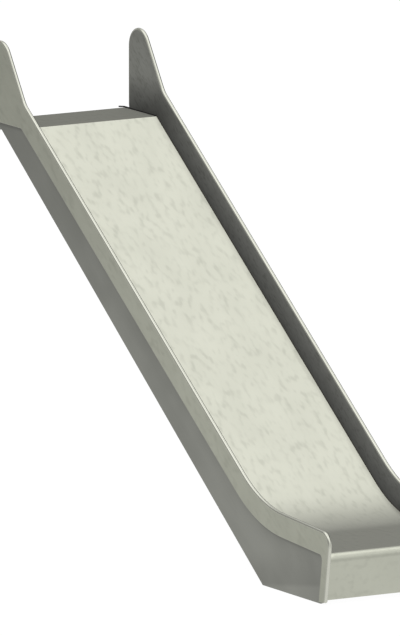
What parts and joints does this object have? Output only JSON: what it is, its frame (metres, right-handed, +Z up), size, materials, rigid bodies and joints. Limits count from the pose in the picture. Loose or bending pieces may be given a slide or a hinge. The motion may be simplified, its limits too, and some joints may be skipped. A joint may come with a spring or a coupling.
{
  "type": "embankment slide",
  "caption": "One metre wide stainless steel embankment slide with platform guards, 35 degree chute, rolled run-out and rounded lip.",
  "frame": {"origin": "centre of the rear flange's flat rear face, 69 mm below the platform", "axes": "+Z up, -Y forward down the slide, +X to the right as seen from the foot looking up"},
  "size_m": [1.05, 4.4302, 3.0078],
  "materials": {
    "platform_steel": "ground stainless steel, satin, level sheet",
    "bed_steel": "ground stainless steel, satin, softly mottled by use",
    "band_steel": "ground stainless steel, satin",
    "wall_steel": "mill-finish stainless steel, matt grey",
    "rim_steel": "half-round bar, ground and polished bright",
    "frame_steel": "pickled stainless steel, dull"
  },
  "bodies": {
    "root": {"platform_sheet": "platform_steel", "platform_rear_flange": "frame_steel", "platform_edge_bar_left": "frame_steel", "platform_edge_bar_right": "frame_steel", "chute_bed": "bed_steel", "runout_bed": "bed_steel", "front_lip": "bed_steel", "cheek_wall_left": "wall_steel", "cheek_wall_right": "wall_steel", "cheek_band_left": "band_steel", "cheek_band_right": "band_steel", "band_return_left": "band_steel", "band_return_right": "band_steel", "cheek_rim_left": "rim_steel", "cheek_rim_right": "rim_steel", "platform_rib": "frame_steel", "bed_rib_1": "frame_steel", "bed_rib_2": "frame_steel", "bed_rib_3": "frame_steel", "bed_rib_4": "frame_steel", "bed_rib_5": "frame_steel", "runout_rib": "frame_steel", "skirt_edge_left": "frame_steel", "skirt_edge_right": "frame_steel", "foot_flange_left": "frame_steel", "foot_flange_right": "frame_steel", "foot_crossbar": "frame_steel"}
  },
  "joints": []
}
